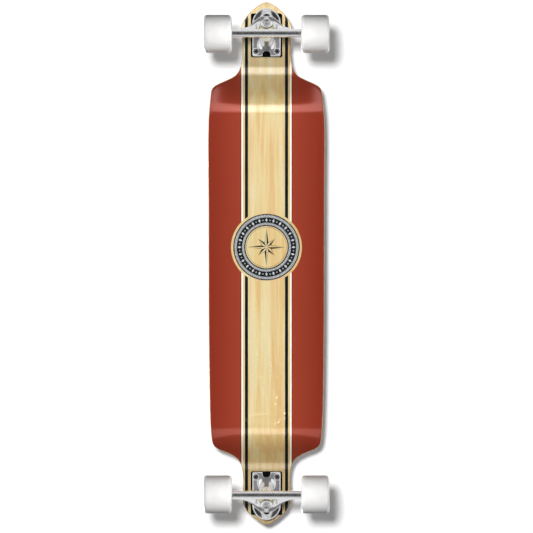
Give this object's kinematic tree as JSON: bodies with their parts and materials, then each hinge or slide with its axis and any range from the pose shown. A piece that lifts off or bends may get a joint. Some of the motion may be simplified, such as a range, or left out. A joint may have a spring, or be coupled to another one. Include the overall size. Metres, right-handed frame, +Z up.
{
  "type": "longboard skateboard",
  "caption": "Drop-deck longboard skateboard with striped wooden underside, grip tape, reverse-kingpin trucks that steer on bushings, and wide white urethane wheels on sealed bearings.",
  "frame": {"origin": "on the ground plane under the middle of the deck's length, with the wheels standing on z = 0", "axes": "+X along the board towards the nose, +Y to the rider's left when facing the nose, +Z up through the deck"},
  "size_m": [1.016, 0.2444, 0.1207],
  "materials": {
    "maple": "clear lacquer, with black, white and red painted bands on the underside",
    "grip_grit": "coarse abrasive grit",
    "riser_rubber": "matte moulded",
    "cast_aluminium": "tumbled casting, lightly polished edges",
    "plated_steel": "zinc plated",
    "washer_steel": "bright pressed",
    "bearing_steel": "ground rings with pressed shields",
    "black_steel": "black oxide",
    "cream_urethane": "translucent satin",
    "white_urethane": "smooth satin"
  },
  "bodies": {
    "deck_assembly": {"deck": "maple", "grip_tape": "grip_grit", "front_riser_pad": "riser_rubber", "front_baseplate": "cast_aluminium", "front_pivot_cup": "cream_urethane", "front_kingpin": "plated_steel", "front_bushing_board": "cream_urethane", "front_bushing_road": "cream_urethane", "front_cup_washer_board": "washer_steel", "front_cup_washer_road": "washer_steel", "front_kingpin_nut": "plated_steel", "front_mounting_bolt_1": "black_steel", "front_mounting_nut_1": "black_steel", "front_mounting_bolt_2": "black_steel", "front_mounting_nut_2": "black_steel", "front_mounting_bolt_3": "black_steel", "front_mounting_nut_3": "black_steel", "front_mounting_bolt_4": "black_steel", "front_mounting_nut_4": "black_steel", "rear_riser_pad": "riser_rubber", "rear_baseplate": "cast_aluminium", "rear_pivot_cup": "cream_urethane", "rear_kingpin": "plated_steel", "rear_bushing_board": "cream_urethane", "rear_bushing_road": "cream_urethane", "rear_cup_washer_board": "washer_steel", "rear_cup_washer_road": "washer_steel", "rear_kingpin_nut": "plated_steel", "rear_mounting_bolt_1": "black_steel", "rear_mounting_nut_1": "black_steel", "rear_mounting_bolt_2": "black_steel", "rear_mounting_nut_2": "black_steel", "rear_mounting_bolt_3": "black_steel", "rear_mounting_nut_3": "black_steel", "rear_mounting_bolt_4": "black_steel", "rear_mounting_nut_4": "black_steel"},
    "front_hanger_assembly": {"front_hanger": "cast_aluminium", "front_axle": "plated_steel", "front_left_sleeve": "plated_steel", "front_left_axle_nut": "plated_steel", "front_right_sleeve": "plated_steel", "front_right_axle_nut": "plated_steel"},
    "rear_hanger_assembly": {"rear_hanger": "cast_aluminium", "rear_axle": "plated_steel", "rear_left_sleeve": "plated_steel", "rear_left_axle_nut": "plated_steel", "rear_right_sleeve": "plated_steel", "rear_right_axle_nut": "plated_steel"},
    "front_left_wheel_assembly": {"front_left_wheel": "white_urethane", "front_left_inner_bearing": "bearing_steel", "front_left_outer_bearing": "bearing_steel"},
    "front_right_wheel_assembly": {"front_right_wheel": "white_urethane", "front_right_inner_bearing": "bearing_steel", "front_right_outer_bearing": "bearing_steel"},
    "rear_left_wheel_assembly": {"rear_left_wheel": "white_urethane", "rear_left_inner_bearing": "bearing_steel", "rear_left_outer_bearing": "bearing_steel"},
    "rear_right_wheel_assembly": {"rear_right_wheel": "white_urethane", "rear_right_inner_bearing": "bearing_steel", "rear_right_outer_bearing": "bearing_steel"}
  },
  "joints": [
    {"name": "front_hanger_pivot", "type": "hinge", "parent": "deck_assembly", "child": "front_hanger_assembly", "pos_m": [0.454, 0, 0.06867], "axis": [0.7071, 0, 0.7071], "range_deg": [-25, 25], "stiffness_Nm_per_rad": 45, "deforming": ["front_bushing_board", "front_bushing_road"]},
    {"name": "rear_hanger_pivot", "type": "hinge", "parent": "deck_assembly", "child": "rear_hanger_assembly", "pos_m": [-0.456, 0, 0.06867], "axis": [-0.7071, 0, 0.7071], "range_deg": [-25, 25], "stiffness_Nm_per_rad": 45, "deforming": ["rear_bushing_board", "rear_bushing_road"]},
    {"name": "front_left_wheel_spin", "type": "hinge", "parent": "front_hanger_assembly", "child": "front_left_wheel_assembly", "pos_m": [0.446, 0.0947, 0.03677], "axis": [0, 1, 0], "continuous": true},
    {"name": "front_right_wheel_spin", "type": "hinge", "parent": "front_hanger_assembly", "child": "front_right_wheel_assembly", "pos_m": [0.446, -0.0947, 0.03677], "axis": [0, 1, 0], "continuous": true},
    {"name": "rear_left_wheel_spin", "type": "hinge", "parent": "rear_hanger_assembly", "child": "rear_left_wheel_assembly", "pos_m": [-0.448, 0.0947, 0.03677], "axis": [0, 1, 0], "continuous": true},
    {"name": "rear_right_wheel_spin", "type": "hinge", "parent": "rear_hanger_assembly", "child": "rear_right_wheel_assembly", "pos_m": [-0.448, -0.0947, 0.03677], "axis": [0, 1, 0], "continuous": true}
  ]
}
